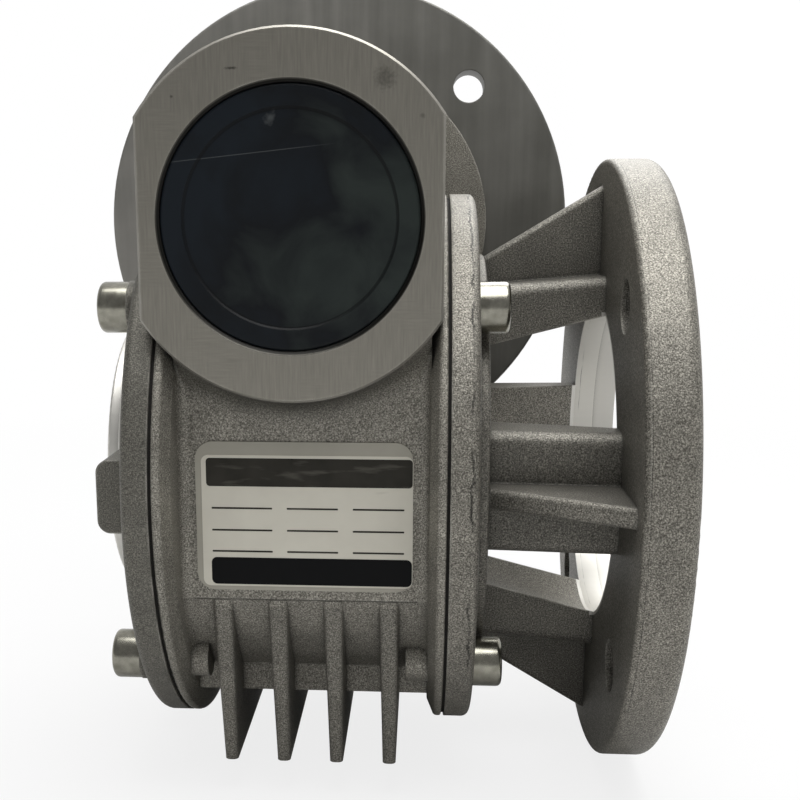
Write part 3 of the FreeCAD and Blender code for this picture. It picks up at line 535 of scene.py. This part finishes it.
def turned_hub(tree, place):
    """Where the lathe has been on the side cover, and its rings."""
    across, radius, rings = lathe_rings(tree, place)
    inside = add(tree, "Math", {0: radius, 1: TURNED_HUB_R}, operation="LESS_THAN")
    proud = add(tree, "Math", {0: across.outputs["X"], 1: -HUB_FOOT}, operation="LESS_THAN")
    where = add(tree, "Math", {0: inside.outputs["Value"], 1: proud.outputs["Value"]}, operation="MULTIPLY")
    return where.outputs["Value"], rings


def casting_pits(tree, place):
    """A few small black pits in the cast skin."""
    pores = add(tree, "TexVoronoi", {"Vector": place, "Scale": 1 / PIT_SPACE, "Randomness": 1.0})
    pits = add(tree, "MapRange", {"Value": pores.outputs["Distance"], "From Min": 0.02, "From Max": 0.05,
                                  "To Min": PIT_SOOT, "To Max": 0.0})
    return pits.outputs["Result"]


dress("side_cover", cast_aluminium("blasted_cast_aluminium_cover", FINE_GRAIN, COVER_SKIN, COVER_PAINTED_SHADE,
                                   turned_hub, TURNED_HUB, casting_pits))


# Output flange: an aluminium casting with a base plate, four gusseted legs and a round mounting ring.
# The ring's face and spigot bore are turned, and the mould has left a ragged dark line round the plate and
# a finer one round the ring.
ring_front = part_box("output_flange")[1].x
FACE_SKIN = 0.1 * MM
SPIGOT_R, RING_REAR = 30.2 * MM, 51.0 * MM
SEAM_WANDER, SEAM_FADE, SEAM_JOG, SEAM_BLUR = 4 * MM, 8 * MM, 0.09, 1.8
# Each mould line: where it lies along the output axis, how far it strays, its half width and its blackness.
PLATE_SEAM, RING_SEAM = (26.9 * MM, 2.4 * MM, 0.12 * MM, 0.8), (52.7 * MM, 0.5 * MM, 0.05 * MM, 0.55)
# The flange's skin shades, and a strong share of painted shade where its legs, plate and ring stand close.
FLANGE_SKIN, FLANGE_PAINTED_SHADE = ("46433c", "7b7870", "afaba0"), 0.6
TURNED_RING = ("acaaa4", "d4d2cc", "d4d2cc")


def turned_ring(tree, place):
    """Where the lathe has been on the mounting ring, and its rings."""
    across, radius, rings = lathe_rings(tree, place)
    face = add(tree, "Math", {0: across.outputs["X"], 1: ring_front - FACE_SKIN}, operation="GREATER_THAN")
    deep = add(tree, "Math", {0: across.outputs["X"], 1: RING_REAR}, operation="GREATER_THAN")
    inside = add(tree, "Math", {0: radius, 1: SPIGOT_R}, operation="LESS_THAN")
    spigot = add(tree, "Math", {0: deep.outputs["Value"], 1: inside.outputs["Value"]}, operation="MULTIPLY")
    where = add(tree, "Math", {0: face.outputs["Value"], 1: spigot.outputs["Value"]}, operation="MAXIMUM")
    return where.outputs["Value"], rings


def mould_lines(tree, place):
    """Dark lines where the mould halves met: a ragged, jogged one round the base plate and a fine one round
    the ring."""
    across = add(tree, "SeparateXYZ", {"Vector": place})
    wander = add(tree, "TexNoise", {"Vector": place, "Scale": 1 / SEAM_WANDER, "Detail": 5.0,
                                    "Roughness": 0.7})
    jogged = add(tree, "Math", {0: wander.outputs["Fac"], 1: SEAM_JOG}, operation="SNAP")
    fade = add(tree, "TexNoise", {"Vector": place, "Scale": 1 / SEAM_FADE, "Detail": 3.0})
    there = add(tree, "MapRange", {"Value": fade.outputs["Fac"], "From Min": 0.42, "From Max": 0.56})
    darkening = casting_pits(tree, place)
    for (seam_x, stray, width, blackness), run in ((PLATE_SEAM, jogged.outputs["Value"]),
                                                   (RING_SEAM, wander.outputs["Fac"])):
        shift = add(tree, "Math", {0: run, 1: stray, 2: across.outputs["X"]}, operation="MULTIPLY_ADD")
        off = add(tree, "Math", {0: shift.outputs["Value"], 1: seam_x + stray / 2}, operation="SUBTRACT")
        away = add(tree, "Math", {0: off.outputs["Value"]}, operation="ABSOLUTE")
        line = add(tree, "MapRange", {"Value": away.outputs["Value"], "From Min": width,
                                      "From Max": SEAM_BLUR * width, "To Min": blackness, "To Max": 0.0})
        broken = add(tree, "Math", {0: line.outputs["Result"], 1: there.outputs["Result"]},
                     operation="MULTIPLY")
        darkening = add(tree, "Math", {0: darkening, 1: broken.outputs["Value"]},
                    operation="MAXIMUM").outputs["Value"]
    return darkening


dress("output_flange", cast_aluminium("blasted_cast_aluminium_flange", COARSE_GRAIN, FLANGE_SKIN,
                                      FLANGE_PAINTED_SHADE, turned_ring, TURNED_RING, mould_lines))


# Motor flange: a flat round aluminium plate, turned and then tumbled to a smooth dull grey, and screwed to
# the open end of the barrel. Faint upright streaks run down it, handling has left it a little cloudy, and
# shade is painted in, darker towards the right.
STREAK_W, STREAK_L, CLOUD = 2.2 * MM, 40 * MM, 14 * MM
STREAK_SHARE, PAINTED_SHADE_TO_RIGHT = 0.45, -0.004 / MM
TUMBLED_GRAIN, TUMBLED_ROUND = 0.35 * MM, 0.4 * MM
FLANGE_DARK, FLANGE_MID, FLANGE_LIGHT = "5f5e59", "71706b", "85837e"


def tumbled_aluminium(name):
    """Turned and tumbled aluminium: a smooth dull grey, cloudy, with faint upright streaks, and painted
    shade that darkens it towards the right.
    """
    finish, tree, place = new_finish(name)
    upright = add(tree, "Mapping", {"Vector": place, "Scale": (1 / STREAK_W, 1 / STREAK_W, 1 / STREAK_L)})
    streaks = add(tree, "TexNoise", {"Vector": upright.outputs["Vector"], "Scale": 1.0, "Detail": 3.0})
    cloud = add(tree, "TexNoise", {"Vector": place, "Scale": 1 / CLOUD, "Detail": 4.0})
    both = add(tree, "MixRGB", {"Fac": STREAK_SHARE, "Color1": cloud.outputs["Fac"],
                                "Color2": streaks.outputs["Fac"]})
    # Painted shade: the tone is pushed darker towards the right.
    across = add(tree, "SeparateXYZ", {"Vector": place})
    lean = add(tree, "Math", {0: across.outputs["X"], 1: PAINTED_SHADE_TO_RIGHT, 2: both.outputs["Color"]},
               operation="MULTIPLY_ADD")
    shade = add(tree, "ValToRGB", {"Fac": lean.outputs["Value"]},
                [(0.22, FLANGE_DARK), (0.78, FLANGE_LIGHT), (0.5, FLANGE_MID)])
    grain = add(tree, "TexNoise", {"Vector": place, "Scale": 1 / TUMBLED_GRAIN, "Detail": 2.0})
    rounded = add(tree, "Bevel", {"Radius": TUMBLED_ROUND}, samples=6)
    skin = add(tree, "Bump", {"Strength": 0.35, "Distance": SKIN_DEPTH, "Height": grain.outputs["Fac"],
                              "Normal": rounded.outputs["Normal"]})
    gloss = add(tree, "MapRange", {"Value": both.outputs["Color"], "To Min": 0.4, "To Max": 0.6})
    shader = add(tree, "BsdfPrincipled", {"Base Color": shade.outputs["Color"], "Metallic": CAST_METAL,
                                          "Roughness": gloss.outputs["Result"],
                                          "Normal": skin.outputs["Normal"]})
    add(tree, "OutputMaterial", {"Surface": shader.outputs["BSDF"]})
    return finish


dress("motor_flange", tumbled_aluminium("tumbled_aluminium"))


# Screws: steel socket-head cap screws, zinc plated with a slight yellow tint. Four hold each side casting
# and four lower ones hold the motor flange. Their heads have a rounded rim and a hexagon socket.
SHANK_R, SHANK_L, SHANK_POINT = 2.5 * MM, 10 * MM, 0.5 * MM
CAP_HEAD = {"head_r": 4.25 * MM, "head_h": 5 * MM, "rim_round": 0.9 * MM,
            "socket_w": 4 * MM, "socket_depth": 2.6 * MM}
LOW_HEAD = {"head_r": 4.5 * MM, "head_h": 3.2 * MM, "rim_round": 0.6 * MM,
            "socket_w": 3 * MM, "socket_depth": 1.8 * MM}
MOUTH_SHARE, MOUTH_DEPTH_SHARE = 0.62, 0.12
TURN_STEPS, HEXAGON = 48, 6
WELD, TOUCH, CREASE = 0.001 * MM, 0.01 * MM, math.radians(35)
STAIN, DRAWN_MARK, PLATING_DEPTH = 1.6 * MM, 0.25 * MM, 0.005 * MM
ZINC_DARK, ZINC_MID, ZINC_LIGHT = "7d7b70", "8c8a80", "9b998d"


def socket_screw(mesh, seat, outward, head_r, head_h, rim_round, socket_w, socket_depth):
    """Adds one socket-head cap screw whose head stands on seat and points outward."""
    screw = bmesh.new()
    profile = [(0, -SHANK_L), (SHANK_R - SHANK_POINT, -SHANK_L), (SHANK_R, SHANK_POINT - SHANK_L),
               (SHANK_R, 0), (head_r, 0), (head_r, head_h), (MOUTH_SHARE * socket_w, head_h)]
    points = [screw.verts.new((r, 0, z)) for r, z in profile]
    edges = [screw.edges.new(pair) for pair in zip(points, points[1:])]
    bmesh.ops.spin(screw, geom=points + edges, cent=(0, 0, 0), axis=(0, 0, 1), angle=math.tau,
                   steps=TURN_STEPS, use_merge=True)
    bmesh.ops.remove_doubles(screw, verts=screw.verts[:], dist=WELD)
    mouth = [e for e in screw.edges if e.is_boundary]
    below_mouth = Matrix.Translation((0, 0, head_h - MOUTH_DEPTH_SHARE * socket_w))
    hexagon = bmesh.ops.create_circle(screw, segments=HEXAGON, radius=socket_w / math.sqrt(3),
                                      matrix=below_mouth)["verts"]
    sides = [e for e in screw.edges if all(v in hexagon for v in e.verts)]
    bmesh.ops.subdivide_edges(screw, edges=sides, cuts=TURN_STEPS // HEXAGON - 1)
    ring = [e for e in screw.edges if e.is_wire]
    bmesh.ops.bridge_loops(screw, edges=mouth + ring)
    down = bmesh.ops.extrude_edge_only(screw, edges=ring)["geom"]
    bmesh.ops.translate(screw, verts=[g for g in down if isinstance(g, bmesh.types.BMVert)],
                        vec=(0, 0, -socket_depth))
    floor_edge = [g for g in down if isinstance(g, bmesh.types.BMEdge) and g.is_boundary]
    bmesh.ops.contextual_create(screw, geom=floor_edge)
    rim = [e for e in screw.edges if all(abs(v.co.xy.length - head_r) < TOUCH and
                                         abs(v.co.z - head_h) < TOUCH for v in e.verts)]
    bmesh.ops.bevel(screw, geom=rim, offset=rim_round, affect="EDGES", segments=5, profile=0.5, material=-1)
    bmesh.ops.recalc_face_normals(screw, faces=screw.faces[:])
    turn = Vector((0, 0, 1)).rotation_difference(Vector(outward)).to_matrix().to_4x4()
    bmesh.ops.transform(screw, matrix=Matrix.Translation(seat) @ turn, verts=screw.verts[:])
    made = bpy.data.meshes.new("screw")
    screw.to_mesh(made)
    screw.free()
    mesh.from_mesh(made)
    bpy.data.meshes.remove(made)


def zinc_plated(name):
    """Bright zinc over steel: a pale grey with a slight yellow tint, cloudy, with small dull stains."""
    finish, tree, place = new_finish(name)
    stain = add(tree, "TexNoise", {"Vector": place, "Scale": 1 / STAIN, "Detail": 4.0})
    shade = add(tree, "ValToRGB", {"Fac": stain.outputs["Fac"]},
                [(0.3, ZINC_DARK), (0.7, ZINC_LIGHT), (0.5, ZINC_MID)])
    gloss = add(tree, "MapRange", {"Value": stain.outputs["Fac"], "To Min": 0.20, "To Max": 0.28})
    drawn = add(tree, "TexNoise", {"Vector": place, "Scale": 1 / DRAWN_MARK, "Detail": 2.0})
    skin = add(tree, "Bump", {"Strength": 0.1, "Distance": PLATING_DEPTH, "Height": drawn.outputs["Fac"]})
    shader = add(tree, "BsdfPrincipled", {"Base Color": shade.outputs["Color"], "Metallic": 1.0,
                                          "Roughness": gloss.outputs["Result"],
                                          "Normal": skin.outputs["Normal"]})
    add(tree, "OutputMaterial", {"Surface": shader.outputs["BSDF"]})
    return finish


plated = zinc_plated("bright_zinc_plate")


def screw_set(name, node, outward, head):
    """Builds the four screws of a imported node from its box, and lets them stand for it."""
    low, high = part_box(node)
    mesh = bmesh.new()
    out = Vector(outward)
    top = Vector([h if o > 0 else l for l, h, o in zip(low, high, out)])
    for side_a in (0, 1):
        for side_b in (0, 1):
            ends = iter(((low, high)[side_a], (low, high)[side_b]))
            inward = iter((1 - 2 * side_a, 1 - 2 * side_b))
            seat = Vector([top[i] - out[i] * head["head_h"] if out[i]
                           else next(ends)[i] + next(inward) * head["head_r"] for i in range(3)])
            socket_screw(mesh, seat, out, **head)
    shape = bpy.data.meshes.new(name)
    mesh.to_mesh(shape)
    mesh.free()
    shape.materials.append(plated)
    shape.shade_smooth()
    shape.set_sharp_from_angle(angle=CREASE)
    piece = bpy.data.objects.new(name, shape)
    bpy.context.scene.collection.objects.link(piece)
    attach(piece, "casing")
    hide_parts(node)


screw_set("side_cover_cap_screws", "side_cover_screws", (-1, 0, 0), CAP_HEAD)
screw_set("output_flange_cap_screws", "output_flange_screws", (1, 0, 0), CAP_HEAD)
screw_set("motor_flange_cap_screws", "motor_flange_screws", (0, 1, 0), LOW_HEAD)


# Nameplate: a pale foil plate stuck on the flat of the case, with a printed sheet stuck over it a little to
# the right. A worn dark band heads the sheet, a black bar closes it, and thin rules divide the rest.
SHEET_T, INK_T = 0.06 * MM, 0.02 * MM
# Each layer's distances from the left, right, top and bottom edges of the plate, and its corner radius.
SHEET_EDGES, SHEET_CORNER = (1.0 * MM, 0.0, 2.2 * MM, 0.7 * MM), 1.2 * MM
BAND_EDGES, BAND_CORNER = (1.8 * MM, 0.1 * MM, 2.7 * MM, 17.6 * MM), 0.6 * MM
BAR_EDGES, BAR_CORNER = (2.4 * MM, 0.1 * MM, 19.4 * MM, 1.0 * MM), 0.9 * MM
RULE_ROWS = (10.9 * MM, 14.6 * MM, 18.2 * MM)
RULE_FIELDS = ((2.6 * MM, 12.6 * MM), (15.0 * MM, 23.4 * MM), (25.8 * MM, 34.2 * MM))
RULE_H, RULE_CORNER = 0.3 * MM, 0.1 * MM
SOIL, RUB_L, RUB_W, RUB_TURN = 5 * MM, 9 * MM, 1.6 * MM, 0.35
plate_low, plate_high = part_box("nameplate")
plate_w, plate_h = plate_high.x - plate_low.x, plate_high.z - plate_low.z
sheet_front = plate_low.y - SHEET_T


def printed_foil(name, dark, light, scuff, scuff_from, rough):
    """Printed foil: an even colour, slightly soiled, with short scuffs that rub it to another shade."""
    finish, tree, place = new_finish(name)
    soil = add(tree, "TexNoise", {"Vector": place, "Scale": 1 / SOIL, "Detail": 5.0})
    shade = add(tree, "MixRGB", {"Fac": soil.outputs["Fac"], "Color1": linear(dark),
                                 "Color2": linear(light)})
    drawn = add(tree, "Mapping", {"Vector": place, "Rotation": (0, RUB_TURN, 0),
                                  "Scale": (1 / RUB_L, 1.0, 1 / RUB_W)})
    rub = add(tree, "TexNoise", {"Vector": drawn.outputs["Vector"], "Scale": 1.0, "Detail": 4.0})
    rubbed = add(tree, "MapRange", {"Value": rub.outputs["Fac"], "From Min": scuff_from,
                                    "From Max": scuff_from + 0.25, "To Max": 0.8})
    shade = add(tree, "MixRGB", {"Fac": rubbed.outputs["Result"], "Color1": shade.outputs["Color"],
                                 "Color2": linear(scuff)})
    skin = add(tree, "Bump", {"Strength": 0.2, "Distance": SKIN_DEPTH, "Height": soil.outputs["Fac"]})
    shader = add(tree, "BsdfPrincipled", {"Base Color": shade.outputs["Color"], "Roughness": rough,
                                          "Specular IOR Level": 0.12, "Normal": skin.outputs["Normal"]})
    add(tree, "OutputMaterial", {"Surface": shader.outputs["BSDF"]})
    return finish


def label_layer(name, edges, corner, back, thick, finish):
    """A thin rounded sheet on the plate, given by its distances from the plate's edges."""
    left, right, top, bottom = edges
    mesh = bmesh.new()
    x0, x1 = plate_low.x + left, plate_high.x - right
    z0, z1 = plate_low.z + bottom, plate_high.z - top
    corners = [mesh.verts.new((x, back, z)) for x, z in ((x0, z0), (x1, z0), (x1, z1), (x0, z1))]
    mesh.faces.new(corners)
    bmesh.ops.bevel(mesh, geom=corners, offset=corner, affect="VERTICES", segments=6, profile=0.5,
                    material=-1)
    raised = bmesh.ops.extrude_face_region(mesh, geom=mesh.faces[:])["geom"]
    bmesh.ops.translate(mesh, verts=[g for g in raised if isinstance(g, bmesh.types.BMVert)],
                        vec=(0, -thick, 0))
    bmesh.ops.recalc_face_normals(mesh, faces=mesh.faces[:])
    shape = bpy.data.meshes.new(name)
    mesh.to_mesh(shape)
    mesh.free()
    shape.materials.append(finish)
    piece = bpy.data.objects.new(name, shape)
    bpy.context.scene.collection.objects.link(piece)
    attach(piece, "casing")


dress("nameplate", printed_foil("aged_pale_foil", "98958a", "a8a59a", "817e75", 0.66, 0.5))
paper = printed_foil("printed_pale_sheet", "c6c2b6", "d2cfc2", "a9a69a", 0.68, 0.45)
worn_ink = printed_foil("worn_dark_ink", "1a1915", "3d3b35", "6c6961", 0.56, 0.5)
black_ink = printed_foil("black_ink", "030405", "060708", "141414", 0.74, 0.5)
label_layer("nameplate_sheet", SHEET_EDGES, SHEET_CORNER, plate_low.y, SHEET_T, paper)
label_layer("nameplate_band", BAND_EDGES, BAND_CORNER, sheet_front, INK_T, worn_ink)
label_layer("nameplate_bar", BAR_EDGES, BAR_CORNER, sheet_front, INK_T, black_ink)
for row, down in enumerate(RULE_ROWS):
    for field, (start, stop) in enumerate(RULE_FIELDS):
        label_layer(f"nameplate_rule_{row}_{field}", (start, plate_w - stop, down, plate_h - down - RULE_H),
                    RULE_CORNER, sheet_front, INK_T, worn_ink)


# Floor, light and camera: a plain pale floor that fades into a white background, one large soft lamp
# overhead and a weaker one behind, and a camera where the photograph was taken from. The room is darker on
# the camera's side and to the left, so that the castings keep their dull grey there.
FLOOR_HALF, FLOOR_GAP = 3.0, 0.2 * MM
FADE_FROM, FADE_TO, NEAR_WHITE = 0.10, 0.45, 0.82
FLOOR_GREY, WHITE = "cecece", "ffffff"
CAMERA_SIDE, BACKDROP_SIDE = 0.30, 1.0
LEFT_SHARE, RIGHT_SHARE = 0.75, 1.2
DARK_UP_TO, BRIGHT_FROM = -0.2, 0.5
# Each lamp: its place, what it points at, its size and its power.
OVERHEAD = ((0.06, -0.1, 0.5), (0.0, 0.0, 0.0), 0.45, 3.6)
BEHIND = ((0.1, 0.4, 0.4), (0.0, 0.0, 0.03), 0.35, 1.6)
CAMERA_AT = (19.21 * MM, -225.63 * MM, 42.92 * MM)
CAMERA_TURN = [math.radians(a) for a in (78.498, 0.21, 4.289)]
SENSOR, LENS, SHIFT, NEAREST = 36.0, 52.89, (0.0812, 0.0875), 0.01

floor_mesh = bmesh.new()
bmesh.ops.create_grid(floor_mesh, x_segments=1, y_segments=1, size=FLOOR_HALF,
                      matrix=Matrix.Translation((0, 0, cad_box[0].z - FLOOR_GAP)))
floor_shape = bpy.data.meshes.new("floor")
floor_mesh.to_mesh(floor_shape)
floor_mesh.free()
floor = bpy.data.objects.new("floor", floor_shape)
bpy.context.scene.collection.objects.link(floor)

pale, tree, place = new_finish("pale_floor")
rays = add(tree, "LightPath")
distance = add(tree, "VectorMath", {0: place}, operation="LENGTH")
seen_far = add(tree, "MapRange", {"Value": distance.outputs["Value"], "From Min": FADE_FROM,
                                  "From Max": FADE_TO, "To Min": NEAR_WHITE, "To Max": 1.0})
shown_far = add(tree, "MapRange", {"Value": distance.outputs["Value"], "From Min": FADE_FROM,
                                   "From Max": FADE_TO})
clear = add(tree, "Math", {0: rays.outputs["Is Camera Ray"], 1: rays.outputs["Is Transmission Ray"]},
            operation="MAXIMUM")
clear = add(tree, "Math", {0: clear.outputs["Value"], 1: seen_far.outputs["Result"]}, operation="MULTIPLY")
mirrored = add(tree, "Math", {0: rays.outputs["Is Glossy Ray"], 1: shown_far.outputs["Result"]},
               operation="MULTIPLY")
share = add(tree, "Math", {0: clear.outputs["Value"], 1: mirrored.outputs["Value"]}, operation="MAXIMUM")
matt = add(tree, "BsdfDiffuse", {"Color": linear(FLOOR_GREY)})
glow = add(tree, "Emission", {"Color": linear(WHITE), "Strength": 1.0})
both = add(tree, "MixShader", {0: share.outputs["Value"], 1: matt.outputs["BSDF"],
                               2: glow.outputs["Emission"]})
add(tree, "OutputMaterial", {"Surface": both.outputs["Shader"]})
floor_shape.materials.append(pale)

world = bpy.data.worlds.new("white_room")
world.use_nodes = True
tree = world.node_tree
tree.nodes.clear()
rays = add(tree, "LightPath")
towards = add(tree, "SeparateXYZ", {"Vector": add(tree, "TexCoord").outputs["Generated"]})
room = add(tree, "MapRange", {"Value": towards.outputs["Y"], "From Min": DARK_UP_TO,
                              "From Max": BRIGHT_FROM, "To Min": CAMERA_SIDE, "To Max": BACKDROP_SIDE})
clear = add(tree, "Math", {0: rays.outputs["Is Camera Ray"], 1: rays.outputs["Is Transmission Ray"]},
            operation="MAXIMUM")
sides = add(tree, "MapRange", {"Value": towards.outputs["X"], "From Min": -1.0, "From Max": 1.0,
                               "To Min": LEFT_SHARE, "To Max": RIGHT_SHARE})
room = add(tree, "Math", {0: room.outputs["Result"], 1: sides.outputs["Result"]}, operation="MULTIPLY")
level = add(tree, "Math", {0: clear.outputs["Value"], 1: room.outputs["Value"]}, operation="MAXIMUM")
light = add(tree, "Background", {"Color": linear(WHITE), "Strength": level.outputs["Value"]})
add(tree, "OutputWorld", {"Surface": light.outputs["Background"]})
bpy.context.scene.world = world


def soft_lamp(name, place, aim, size, power):
    """A square soft lamp at place, turned towards aim."""
    lamp = bpy.data.lights.new(name, "AREA")
    lamp.size, lamp.energy = size, power
    holder = bpy.data.objects.new(name, lamp)
    holder.location = place
    holder.rotation_euler = (Vector(aim) - Vector(place)).to_track_quat("-Z", "Y").to_euler()
    bpy.context.scene.collection.objects.link(holder)


soft_lamp("overhead_lamp", *OVERHEAD)
soft_lamp("back_lamp", *BEHIND)

eye = bpy.data.cameras.new("camera")
eye.sensor_width, eye.lens, eye.clip_start = SENSOR, LENS, NEAREST
eye.shift_x, eye.shift_y = SHIFT
stand = bpy.data.objects.new("camera", eye)
stand.location, stand.rotation_euler = CAMERA_AT, CAMERA_TURN
bpy.context.scene.collection.objects.link(stand)
bpy.context.scene.camera = stand
bpy.context.scene.view_settings.view_transform = "Standard"
